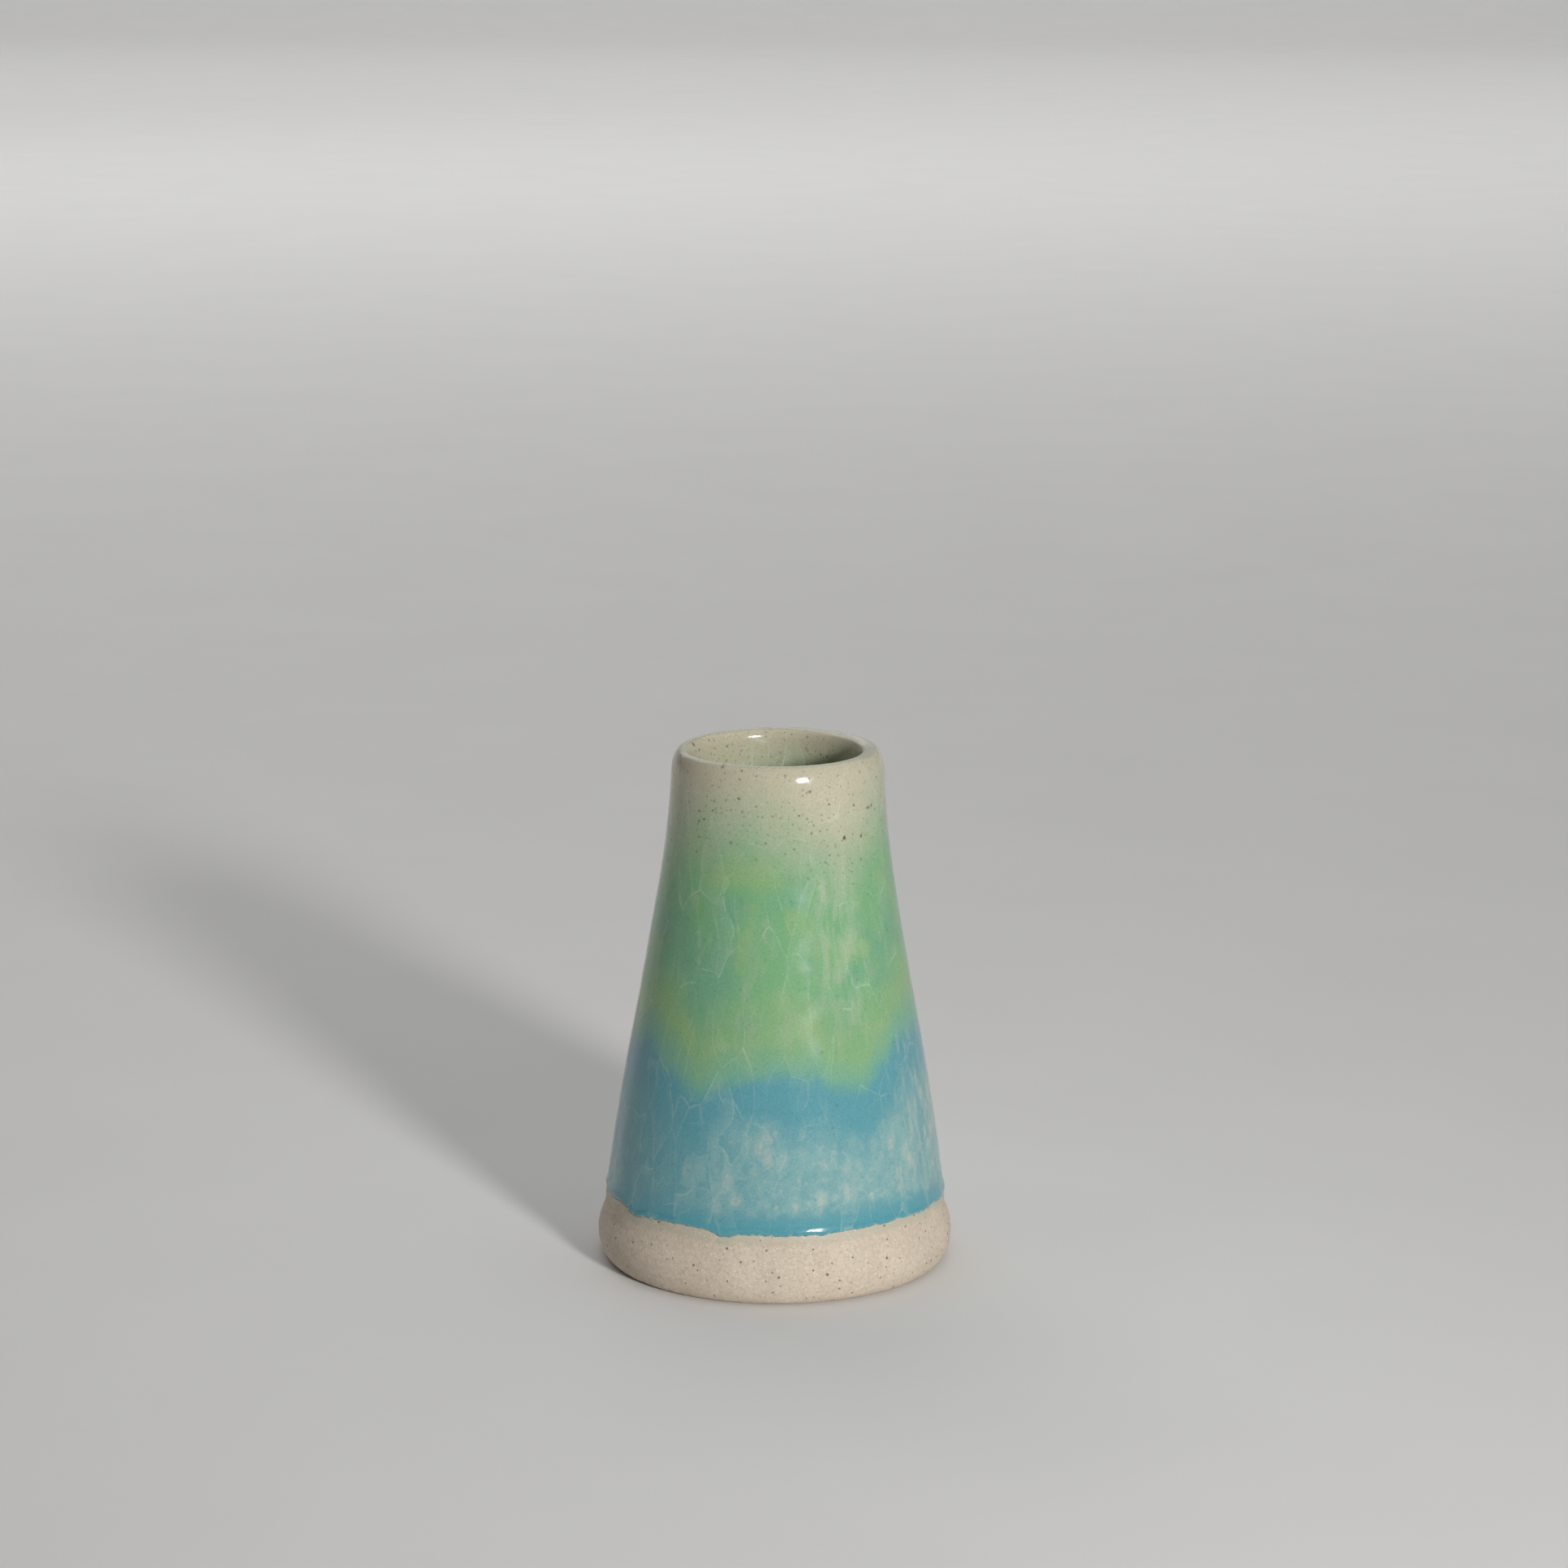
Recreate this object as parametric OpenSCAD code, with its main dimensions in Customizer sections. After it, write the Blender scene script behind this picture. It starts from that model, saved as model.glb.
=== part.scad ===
// Ceramic bud vase: one thrown stoneware body, glazed inside and in three bands outside.
// Millimetres. The axis is +Z and the vase stands on the plane z = 0.

/* [Overall] */
// Height from the table to the crest of the lip
height = 100; // [85:1:125]
// Diameter at the widest place of the bare foot
foot_d = 68.2; // [64:0.2:74]
// Diameter of the flat ring that the foot stands on
standing_d = 62.4; // [58:0.2:63]
// Outside diameter just under the lip
rim_d = 40.6; // [36:0.2:46]

/* [Wall] */
// Outside diameter where the wall rises from the foot
shoulder_d = 65.3; // [62:0.1:66]
// Inward lean of the wall above the foot, in degrees
foot_lean = 6.6; // [3:0.2:9]
// Inward lean of the wall under the lip, in degrees
rim_lean = 2.6; // [0:0.2:5]
// Wall thickness at the lip, with its glaze
rim_wall = 3.6; // [3:0.1:4.5]
// Wall thickness at the foot, with its glaze
foot_wall = 5.6; // [4.5:0.1:8]
// Thickness of the floor, without its glaze
floor_t = 6; // [4:0.5:9]

/* [Foot] */
// Height of the widest place of the foot
bulge_z = 5.2; // [4:0.2:6]
// Height where the foot turns into the wall
shoulder_z = 12.5; // [10.5:0.5:13]
// Diameter of the shallow turned hollow under the foot
hollow_d = 46; // [30:1:52]
// Depth of that hollow
hollow_depth = 1.2; // [0.6:0.2:2]

/* [Lip] */
// Height of the round on the outside of the lip
lip_outside = 4.8; // [3:0.1:6]
// Height of the round on the inside of the lip
lip_inside = 1.4; // [1:0.1:3]
// Share of the lip's width that lies outside its crest
lip_share = 0.6; // [0.4:0.05:0.7]

/* [Glaze] */
// Thickness of the fired glaze
glaze_t = 0.5; // [0.4:0.05:0.8]
// Thickness where the blue glaze has pooled at its lower edge
pool_t = 0.7; // [0.5:0.05:0.9]
// Height of the glaze line above the table
glaze_line = 13.5; // [13.5:0.5:18]
// Height where blue glaze gives way to green
blue_top = 42.5; // [35:0.5:50]
// Height where green glaze gives way to cream
green_top = 82.5; // [70:0.5:84]

/* [Hidden] */
$fn = 96;

clay_colour = [0.76, 0.68, 0.59];
liner_colour = [0.68, 0.68, 0.57];
cream_colour = [0.70, 0.68, 0.58];
green_colour = [0.44, 0.62, 0.45];
blue_colour = [0.36, 0.60, 0.66];

clay_top = height - glaze_t;           // crest of the clay under the glaze
floor_corner = 9;                      // radius of the round between floor and inner wall
bead_h = 1;                            // height of the round edge at the glaze line
pool_h = 3.2;                          // height of the thicker pooled glaze
lower_reach = 0.4;                     // how far up the wall the lean at the foot is felt
upper_reach = 0.31;                    // how far down the wall the lean at the lip is felt
bulge_reach = 0.4;                     // how softly the foot turns into the wall

// A point at share t of the cubic curve with the four control points p
function cubic(p, t) =
    pow(1 - t, 3) * p[0] + 3 * pow(1 - t, 2) * t * p[1]
    + 3 * (1 - t) * t * t * p[2] + pow(t, 3) * p[3];

// The share t at which the cubic p, which only rises, reaches the height z
function share_at(p, z, low = 0, high = 1, steps = 30) =
    let (middle = (low + high) / 2)
    steps == 0 ? middle
    : cubic(p, middle)[1] < z ? share_at(p, z, middle, high, steps - 1)
    : share_at(p, z, low, middle, steps - 1);

// Points after the one at share a, up to the one at share b, in n steps
function stretch(p, a, b, n) = [for (i = [1:n]) cubic(p, a + (b - a) * i / n)];

// Points after the angle a, up to the angle b, on an ellipse with the half axes r and h
function arc(centre, r, h, a, b, n) =
    [for (i = [1:n]) let (turn = a + (b - a) * i / n) centre + [r * cos(turn), h * sin(turn)]];

// The stretch of a list from entry a to entry b, and a list turned round
function part_of(list, a, b) = [for (i = [a:b]) list[i]];
function turned(list) = [for (i = [len(list) - 1:-1:0]) list[i]];

// The outward direction square to a line of points, at entry i
function outward(line, i) =
    let (along = line[min(i + 1, len(line) - 1)] - line[max(i - 1, 0)])
    [along[1], -along[0]] / norm(along);

// Outside of the clay: the foot, its turn into the wall, the wall and the lip
standing_r = standing_d / 2;
foot_r = foot_d / 2;
shoulder = [shoulder_d / 2 - glaze_t, shoulder_z];
lip_start = [rim_d / 2 - glaze_t, clay_top - lip_outside];
wall_h = lip_start[1] - shoulder[1];
wall_curve = [
    shoulder,
    shoulder + lower_reach * wall_h * [-tan(foot_lean), 1],
    lip_start + upper_reach * wall_h * [tan(rim_lean), -1],
    lip_start
];
turn_h = bulge_reach * (shoulder_z - bulge_z);
turn_curve = [
    [foot_r, bulge_z],
    [foot_r, bulge_z + turn_h],
    shoulder + turn_h * [tan(foot_lean), -1],
    shoulder
];

// Lip: two quarter rounds that meet at the crest, the outer one starting at the wall's lean
throat_r = rim_d / 2 - rim_wall + glaze_t;
crest_r = lip_start[0] - lip_share * (lip_start[0] - throat_r);
crest_out = lip_start[0] - crest_r;
lean_turn = atan(tan(rim_lean) * lip_outside / crest_out);
outer_centre = [crest_r, clay_top - lip_outside];
inner_centre = [crest_r, clay_top - lip_inside];

// Inside of the clay: the wall down to the round corner, then the floor
corner_r = shoulder_d / 2 - foot_wall + glaze_t;
corner_centre = [corner_r - floor_corner, floor_t + floor_corner];
corner_start = corner_centre + floor_corner * [cos(foot_lean), sin(foot_lean)];
inner_h = inner_centre[1] - corner_start[1];
inner_curve = [
    [throat_r, inner_centre[1]],
    [throat_r, inner_centre[1] - upper_reach * inner_h],
    corner_start + lower_reach * inner_h * [-tan(foot_lean), 1],
    corner_start
];

// Shares of the wall where one band of glaze gives way to the next
line_share = share_at(wall_curve, glaze_line);
bead_share = share_at(wall_curve, glaze_line + bead_h);
pool_share = share_at(wall_curve, glaze_line + bead_h + pool_h);
blue_share = share_at(wall_curve, blue_top);
green_share = share_at(wall_curve, green_top);

// The clay's whole outline, from the foot's standing ring over the lip to the floor's middle
foot_line = concat(
    [[standing_r, 0]],
    arc([standing_r, bulge_z], foot_r - standing_r, bulge_z, -90, 0, 8),
    stretch(turn_curve, 0, 1, 8),
    stretch(wall_curve, 0, line_share, 2)
);
blue_line = concat(
    stretch(wall_curve, line_share, bead_share, 5),
    stretch(wall_curve, bead_share, pool_share, 4),
    stretch(wall_curve, pool_share, blue_share, 8)
);
green_line = stretch(wall_curve, blue_share, green_share, 12);
rim_line = concat(
    stretch(wall_curve, green_share, 1, 4),
    arc(outer_centre, crest_out, lip_outside, lean_turn, 90, 8),
    arc(inner_centre, crest_r - throat_r, lip_inside, 90, 180, 8)
);
liner_line = concat(
    stretch(inner_curve, 0, 1, 20),
    arc(corner_centre, floor_corner, floor_corner, foot_lean, -90, 10),
    [[0, floor_t]]
);
clay_line = concat(foot_line, blue_line, green_line, rim_line, liner_line);

// Entries of that outline where each band of glaze starts and ends
blue_from = len(foot_line) - 1;
green_from = blue_from + len(blue_line);
rim_from = green_from + len(green_line);
liner_from = rim_from + len(rim_line);
last = len(clay_line) - 1;

// Glaze thickness over a point of the outline: nothing at the glaze line, then a round edge,
// then a pooled stretch that thins to the usual thickness
function edge_share(z) = sqrt(1 - pow(max(0, 1 - (z - glaze_line) / bead_h), 2));
function pool_share_at(z) = max(0, min(1, 1 - (z - glaze_line - bead_h) / pool_h));
function thickness(i) =
    let (z = clay_line[i][1])
    i > rim_from ? glaze_t
    : edge_share(max(z, glaze_line)) * (glaze_t + (pool_t - glaze_t) * pool_share_at(z));

// The glaze's outer face, entry for entry over the clay's outline
coat_line = [for (i = [0:last])
    i == last ? [0, floor_t + glaze_t]
    : clay_line[i] + thickness(i) * outward(clay_line, i)];

// One band of glaze between two entries of the outline
module glaze_band(from, to) {
    rotate_extrude()
        polygon(concat(part_of(clay_line, from, to), turned(part_of(coat_line, from, to))));
}

// The thrown clay: foot, wall, lip and floor, with the shallow hollow turned under it
module stoneware_body() {
    hollow_r = hollow_d / 2;
    color(clay_colour)
        rotate_extrude()
            polygon(concat(
                clay_line,
                [[0, hollow_depth], [hollow_r - 2 * hollow_depth, hollow_depth], [hollow_r, 0]]
            ));
}

// Cream-green glaze that lines the inside, from under the lip to the floor
module liner_glaze() { color(liner_colour) glaze_band(liner_from, last); }

// Speckled cream glaze over the lip and the top of the wall
module rim_glaze() { color(cream_colour) glaze_band(rim_from, liner_from); }

// Green glaze round the middle of the wall
module green_glaze() { color(green_colour) glaze_band(green_from, rim_from); }

// Blue glaze round the lower wall, pooled at the glaze line
module blue_glaze() {
    color(blue_colour)
        rotate_extrude()
            polygon(concat(
                part_of(clay_line, blue_from, green_from),
                turned(part_of(coat_line, blue_from + 1, green_from))
            ));
}

stoneware_body();
liner_glaze();
rim_glaze();
green_glaze();
blue_glaze();
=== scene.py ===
"""The looks of a small ceramic bud vase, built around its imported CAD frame.

Lengths in the shape functions are millimetres, as in the CAD source, and turn into metres where
the meshes are made. Angles go round the axis in degrees, 0 at the front (-Y) and 90 at +X.
"""

import math

import bpy
import numpy as np
from mathutils import Matrix, Vector, noise


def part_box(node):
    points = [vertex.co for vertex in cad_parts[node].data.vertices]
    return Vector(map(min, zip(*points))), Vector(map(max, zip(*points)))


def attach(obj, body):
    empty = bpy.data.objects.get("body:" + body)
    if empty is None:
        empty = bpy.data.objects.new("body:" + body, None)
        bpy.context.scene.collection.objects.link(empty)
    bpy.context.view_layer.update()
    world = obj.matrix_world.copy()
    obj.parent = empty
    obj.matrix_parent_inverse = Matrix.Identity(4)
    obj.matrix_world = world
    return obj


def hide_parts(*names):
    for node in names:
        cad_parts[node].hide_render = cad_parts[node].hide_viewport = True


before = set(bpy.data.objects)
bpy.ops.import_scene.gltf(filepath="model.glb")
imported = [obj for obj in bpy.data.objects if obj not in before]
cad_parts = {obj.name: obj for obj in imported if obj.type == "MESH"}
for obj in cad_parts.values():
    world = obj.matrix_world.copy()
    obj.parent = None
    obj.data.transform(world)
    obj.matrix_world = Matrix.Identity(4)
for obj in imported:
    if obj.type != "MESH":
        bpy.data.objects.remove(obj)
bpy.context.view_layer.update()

MM = 0.001


def cad_low(node):
    """Lowest corner of a CAD node, in millimetres."""
    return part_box(node)[0] / MM


def cad_high(node):
    """Highest corner of a CAD node, in millimetres."""
    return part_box(node)[1] / MM


# ---------------------------------------------------------------------------------------------
# Sizes, read off the frame where it holds them
# ---------------------------------------------------------------------------------------------
clay_high = cad_high("stoneware_body")

HEIGHT = cad_high("rim_glaze").z      # crest of the lip
GLAZE = HEIGHT - clay_high.z          # thickness of the fired glaze
FOOT_R = clay_high.x                  # widest place of the bare foot
GLAZE_LINE = cad_low("blue_glaze").z  # lower edge of the blue glaze
FLOOR_Z = cad_low("liner_glaze").z    # top of the clay floor

# The rest of the outline, as in the CAD source
STANDING_R = 31.2
BULGE_Z = 5.2
SHOULDER_R = 32.65
SHOULDER_Z = 12.5
FOOT_LEAN = math.radians(6.6)
RIM_LEAN = math.radians(2.6)
RIM_R = 20.3
RIM_WALL = 3.6
FOOT_WALL = 5.6
LIP_OUTSIDE = 4.8
LIP_INSIDE = 1.4
LIP_SHARE = 0.6
LOWER_REACH = 0.4
UPPER_REACH = 0.31
BULGE_REACH = 0.4
CORNER = 9.0
HOLLOW_R = 23.0
HOLLOW_DEPTH = 1.2

# The fired glaze: its round lower edge, the thicker roll above that edge, and how far the pieces
# reach into each other where nothing shows
BEAD = 0.6
POOL = 1.1
POOL_EXTRA = 0.22
SUNK = 0.06
BACK_DEPTH = 0.02
CLAY_DEPTH = 0.12
CLAY_RAISED = 0.5                     # how far the bare clay swells just under the glaze line

# What the potter's hand left: two and three lobes to the turn, a swell on the left of the wall,
# throwing rings, and a lip that is thicker on its right side and dips on its left
LOBES_TWO = 0.12
LOBES_THREE = 0.06
SWELL = 0.16
SWELL_Z = 66
SWELL_REACH = 9
SWELL_ANGLE = -80
RINGS = 0.012
RING_PITCH = 7.3
LIP_THICKER = 0.95
LIP_THICKER_ANGLE = 95
LIP_WAVE = 0.08
LIP_DIP = 0.18
LIP_HIGH_ANGLE = 70

# Noise in the mesh, as height, size and seed: the ragged glaze edge and the grit of the foot
RAGGED = [(0.22, 4.5, 1), (0.20, 1.5, 2), (0.18, 0.8, 8)]
GRIT = [(0.025, 0.7, 3), (0.035, 2.6, 4), (0.08, 9.0, 5)]
BURR = 0.12                           # height of the burr at the foot's lower edge
TOOL_MARK = 0.03                      # height of the turning marks on the foot
TOOL_PITCH = 1.7

SEGMENTS = 720                        # steps round the axis
ANGLES = np.arange(SEGMENTS) * (360.0 / SEGMENTS) - 180.0

# Where the colours of the glaze meet, as height over angle: the lower edge of the blue, the
# border of blue and green, and the middle of the fade from green to cream
EDGE_HEIGHTS = [
    (-165, 13.9), (-130, 13.3), (-95, 13.8), (-62, 14.1), (-54, 12.9), (-48, 13.6), (-33, 14.0),
    (-24, 13.7), (-18, 12.9), (-10, 13.4), (12, 13.5), (40, 13.7), (65, 13.5),
    (85, 13.2), (120, 13.8), (150, 13.3),
]
BLUE_HEIGHTS = [
    (-175, 43), (-150, 40), (-122, 45.5), (-90, 43), (-60, 46), (-46, 43), (-30, 39.2),
    (-16, 42.3), (-2, 43.6), (14, 42.8), (24, 40.4), (35, 39.4), (46, 43), (58, 47.5),
    (75, 48.6), (100, 45), (126, 39.5), (152, 44),
]
GREEN_HEIGHTS = [
    (-170, 82), (-135, 86), (-100, 80), (-70, 84), (-54, 86), (-40, 88), (-15, 88),
    (3, 86.5), (18, 85), (33, 82), (44, 84), (58, 87), (80, 87.5), (115, 81), (145, 85),
]


# ---------------------------------------------------------------------------------------------
# Outline
# ---------------------------------------------------------------------------------------------
def cubic(p, t):
    """Points at the shares t of the cubic curve with four control points."""
    t = np.asarray(t, float)[:, None]
    p = np.asarray(p, float)
    return ((1 - t) ** 3 * p[0] + 3 * (1 - t) ** 2 * t * p[1]
            + 3 * (1 - t) * t * t * p[2] + t ** 3 * p[3])


def arc(centre, r, h, start, end, steps):
    """Points along an ellipse with half axes r and h, both ends included."""
    turn = np.linspace(start, end, steps)
    return np.stack([centre[0] + r * np.cos(turn), centre[1] + h * np.sin(turn)], 1)


def smooth(low, high, value):
    """0 at low, 1 at high, with a soft start and end."""
    t = np.clip((np.asarray(value, float) - low) / (high - low), 0, 1)
    return t * t * (3 - 2 * t)


def around(points, angles=ANGLES):
    """A wave round the axis through the given (angle, height) points, level at each of them."""
    at = np.array([p[0] for p in points], float)
    height = np.array([p[1] for p in points], float)
    at = np.concatenate([at, at[:1] + 360])
    height = np.concatenate([height, height[:1]])
    turned = (np.asarray(angles, float) - at[0]) % 360 + at[0]
    i = np.clip(np.searchsorted(at, turned, side="right") - 1, 0, len(at) - 2)
    t = (turned - at[i]) / (at[i + 1] - at[i])
    return height[i] + (height[i + 1] - height[i]) * t * t * (3 - 2 * t)


clay_top = HEIGHT - GLAZE
shoulder = np.array([SHOULDER_R - GLAZE, SHOULDER_Z])
lip_start = np.array([RIM_R - GLAZE, clay_top - LIP_OUTSIDE])
throat_r = RIM_R - RIM_WALL + GLAZE
crest_r = lip_start[0] - LIP_SHARE * (lip_start[0] - throat_r)
wall_h = lip_start[1] - shoulder[1]
turn_h = BULGE_REACH * (SHOULDER_Z - BULGE_Z)
corner_centre = np.array([SHOULDER_R - FOOT_WALL + GLAZE - CORNER, FLOOR_Z + CORNER])
corner_start = corner_centre + CORNER * np.array([math.cos(FOOT_LEAN), math.sin(FOOT_LEAN)])
inner_top = clay_top - LIP_INSIDE
inner_h = inner_top - corner_start[1]

TURN_CURVE = [(FOOT_R, BULGE_Z), (FOOT_R, BULGE_Z + turn_h),
              shoulder + turn_h * np.array([math.tan(FOOT_LEAN), -1]), shoulder]
WALL_CURVE = [shoulder,
              shoulder + LOWER_REACH * wall_h * np.array([-math.tan(FOOT_LEAN), 1]),
              lip_start + UPPER_REACH * wall_h * np.array([math.tan(RIM_LEAN), -1]),
              lip_start]
INNER_CURVE = [(throat_r, inner_top), (throat_r, inner_top - UPPER_REACH * inner_h),
               corner_start + LOWER_REACH * inner_h * np.array([-math.tan(FOOT_LEAN), 1]),
               corner_start]

# The outside of the clay from the table to the lip, dense enough to read heights off
foot_arc = arc((STANDING_R, BULGE_Z), FOOT_R - STANDING_R, BULGE_Z, -math.pi / 2, 0, 60)
OUTSIDE = np.concatenate([foot_arc[:-1], cubic(TURN_CURVE, np.linspace(0, 1, 80))[:-1],
                          cubic(WALL_CURVE, np.linspace(0, 1, 600))])


def clay_outside(z):
    """Radius of the clay's outside at the heights z, and its outward direction there."""
    r = np.interp(z, OUTSIDE[:, 1], OUTSIDE[:, 0])
    step = 0.4
    slope = (np.interp(z + step, OUTSIDE[:, 1], OUTSIDE[:, 0])
             - np.interp(z - step, OUTSIDE[:, 1], OUTSIDE[:, 0])) / (2 * step)
    length = np.sqrt(1 + slope ** 2)
    return r, 1 / length, -slope / length


def outward(line):
    """The direction square to a line of points, to the left of its run."""
    along = np.gradient(line, axis=0)
    along /= np.linalg.norm(along, axis=1)[:, None]
    return np.stack([along[:, 1], -along[:, 0]], 1)


# ---------------------------------------------------------------------------------------------
# Meshes: rows of points round the axis, joined row to row
# ---------------------------------------------------------------------------------------------
def noise_at(points, size, seed=0.0):
    """Smooth noise, about -1 to 1, at an array of points in millimetres."""
    shift = Vector((seed * 17.3, seed * -9.1, seed * 5.7))
    flat = points.reshape(-1, 3) / size
    values = [noise.noise(Vector(p) + shift) for p in flat]
    return np.array(values).reshape(points.shape[:-1])


def hand(r, z, angle):
    """How far a potter's hand leaves the radius off the true round."""
    turn = np.radians(angle)
    lobes = LOBES_TWO * np.cos(2 * turn - 0.6) + LOBES_THREE * np.cos(3 * turn + 1.1)
    left = smooth(-0.2, 1, np.cos(turn - math.radians(SWELL_ANGLE)))
    swell = SWELL * np.exp(-((z - SWELL_Z) / SWELL_REACH) ** 2) * left
    rings = RINGS * np.sin(2 * np.pi * (z / RING_PITCH + angle / 360)) * smooth(6, 22, z)
    right = smooth(-0.1, 1, np.cos(turn - math.radians(LIP_THICKER_ANGLE)))
    thick = -LIP_THICKER * right * smooth(crest_r, throat_r, r) * smooth(76, 92, z)
    return (lobes * smooth(0, 40, z) + swell + rings) * smooth(4, 15, r) + thick


def to_space(r, z):
    """A row of points in millimetres for radii and heights given per angle, made uneven."""
    r = np.broadcast_to(np.asarray(r, float), ANGLES.shape)
    z = np.broadcast_to(np.asarray(z, float), ANGLES.shape)
    turn = np.radians(ANGLES)
    r_hand = r + hand(r, z, ANGLES)
    lip_wave = LIP_WAVE * (np.cos(2 * turn + 0.4) - 1)
    lip_dip = LIP_DIP * (np.cos(turn - math.radians(LIP_HIGH_ANGLE)) - 1)
    lip_z = z + (lip_wave + lip_dip) * smooth(92, 100, z)
    return np.stack([r_hand * np.sin(turn), -r_hand * np.cos(turn), lip_z], -1)


def directions(grid):
    """The outward direction at each point of a grid: rows along the outline, points round it."""
    step = np.diff(grid, axis=0)
    step /= np.linalg.norm(step, axis=2)[..., None]
    along = np.concatenate([step[:1], step[:-1] + step[1:], step[-1:]])
    turn = np.roll(grid, -1, axis=1) - np.roll(grid, 1, axis=1)
    out = np.cross(turn, along)
    return out / np.linalg.norm(out, axis=2)[..., None]


def build(name, grid, normals=None, closed=False, poles=()):
    """A mesh object from a grid of points. A closed one joins its last row to its first, and an
    open one ends in a point on the axis at each pole height."""
    count = len(grid)
    points = [tuple(p) for p in grid.reshape(-1, 3) * MM]
    faces = []
    for i in range(count if closed else count - 1):
        a, b = i * SEGMENTS, (i + 1) % count * SEGMENTS
        for j in range(SEGMENTS):
            k = (j + 1) % SEGMENTS
            faces.append((a + j, a + k, b + k, b + j))
    for end, pole in enumerate(poles):
        points.append((0, 0, pole * MM))
        tip = len(points) - 1
        row = end * (count - 1) * SEGMENTS
        for j in range(SEGMENTS):
            k = (j + 1) % SEGMENTS
            faces.append((tip, row + j, row + k) if end else (tip, row + k, row + j))
    mesh = bpy.data.meshes.new(name)
    mesh.from_pydata(points, [], faces)
    mesh.update()
    mesh.polygons.foreach_set("use_smooth", [True] * len(mesh.polygons))
    if normals is not None:
        tips = [(0, 0, 1 if end else -1) for end in range(len(poles))]
        mesh.normals_split_custom_set_from_vertices([*normals.reshape(-1, 3).tolist(), *tips])
    piece = bpy.data.objects.new(name, mesh)
    bpy.context.scene.collection.objects.link(piece)
    return piece


def mark(piece, name, values):
    """Stores one number per point for the material to read."""
    spare = len(piece.data.vertices) - values.size
    values = np.concatenate([values.ravel(), np.repeat(values.ravel()[-1:], spare)])
    layer = piece.data.attributes.new(name, "FLOAT", "POINT")
    layer.data.foreach_set("value", values.astype(np.float32))


# Ragged lower edge of the glaze, and the borders of the three outer bands
edge_ring = to_space(SHOULDER_R, 0)
roll_z = around(EDGE_HEIGHTS) - 0.15
edge_z = sum((high * noise_at(edge_ring, size, seed) for high, size, seed in RAGGED), roll_z)
blue_z = around(BLUE_HEIGHTS)
green_z = around(GREEN_HEIGHTS)


def coat(z):
    """Thickness of the outer glaze over the clay at the heights z."""
    bead = np.sqrt(1 - np.clip(1 - (z - edge_z) / BEAD, 0, 1) ** 2)
    pooled = POOL_EXTRA * (1 - smooth(roll_z + 0.6 * BEAD, roll_z + BEAD + POOL, z))
    return bead * (GLAZE + pooled) - SUNK * (1 - bead)


def wall_row(z, depth=None):
    """A row of the glaze's outer face at the heights z, or of the face at a given depth."""
    z = np.broadcast_to(np.asarray(z, float), ANGLES.shape)
    r, out_r, out_z = clay_outside(z)
    t = coat(z) if depth is None else depth
    return to_space(r + t * out_r, z + t * out_z)


def wall_rows(low, high, shares, depth=None):
    return [wall_row(low + (high - low) * s, depth) for s in shares]


def lip_line():
    """The clay's lip from the wall over the crest to the throat, with the lip's own rounds."""
    lean_turn = math.atan(math.tan(RIM_LEAN) * LIP_OUTSIDE / (lip_start[0] - crest_r))
    over = arc((crest_r, lip_start[1]), lip_start[0] - crest_r, LIP_OUTSIDE,
               lean_turn, math.pi / 2, 18)
    under = arc((crest_r, inner_top), crest_r - throat_r, LIP_INSIDE,
                math.pi / 2, math.pi, 18)
    return np.concatenate([over, under[1:]])


def liner_line():
    """The inside of the clay from the throat to near the middle of the floor."""
    wall = cubic(INNER_CURVE, np.linspace(0, 1, 46))
    corner = arc(corner_centre, CORNER, CORNER, FOOT_LEAN, -math.pi / 2, 12)
    floor = np.stack([np.linspace(corner[-1][0], 1.5, 9)[1:], np.full(8, FLOOR_Z)], 1)
    return np.concatenate([wall[1:], corner[1:], floor])


def line_rows(line, depth):
    """Rows along a line of the clay's outline, raised by depth."""
    return [to_space(r, z) for r, z in line + depth * outward(line)]


# The glaze's whole outer face, from its lower edge up the wall, over the lip and down to the
# middle of the floor inside. The pieces of glaze are cut from it, so their surfaces run on.
bead_shares = (1 - np.cos(np.linspace(0, np.pi / 2, 9))) * BEAD / float(np.mean(blue_z - edge_z))
blue_shares = np.concatenate([bead_shares[:-1], np.linspace(bead_shares[-1], 1, 62)])
clay_inside = np.concatenate([lip_line(), liner_line()])
blue_rows = wall_rows(edge_z, blue_z, blue_shares)
green_rows = wall_rows(blue_z, green_z, np.linspace(0, 1, 80))
cream_rows = wall_rows(green_z, np.full(SEGMENTS, lip_start[1]), np.linspace(0, 1, 26))
inside_rows = line_rows(clay_inside, GLAZE)
skin = np.array(blue_rows[:-1] + green_rows[:-1] + cream_rows[:-1] + inside_rows)
skin_out = directions(skin)
crest_z = skin[..., 2].max(axis=0)
blue_end = len(blue_rows) - 1
green_end = blue_end + len(green_rows) - 1
throat = green_end + len(cream_rows) - 1 + len(lip_line()) - 1


def glaze_piece(name, first, last, back):
    """The skin from one row to another, closed by rows on its clay side."""
    back = np.array(back)
    grid = np.concatenate([skin[first:last + 1], back])
    normals = np.concatenate([skin_out[first:last + 1], directions(back)])
    piece = build(name, grid, normals, closed=True)
    z = grid[..., 2]
    mark(piece, "above_edge", z - edge_z)
    mark(piece, "above_blue", z - blue_z)
    mark(piece, "above_green", z - green_z)
    mark(piece, "below_crest", crest_z - z)
    return piece


def make_blue():
    back = wall_rows(edge_z, blue_z, np.linspace(1, 0, 12)[:-1], -BACK_DEPTH)
    return glaze_piece("blue_glaze_coat", 0, blue_end, back)


def make_green():
    back = wall_rows(blue_z, green_z, np.linspace(1, 0, 12), -BACK_DEPTH)
    return glaze_piece("green_glaze_coat", blue_end, green_end, back)


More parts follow.
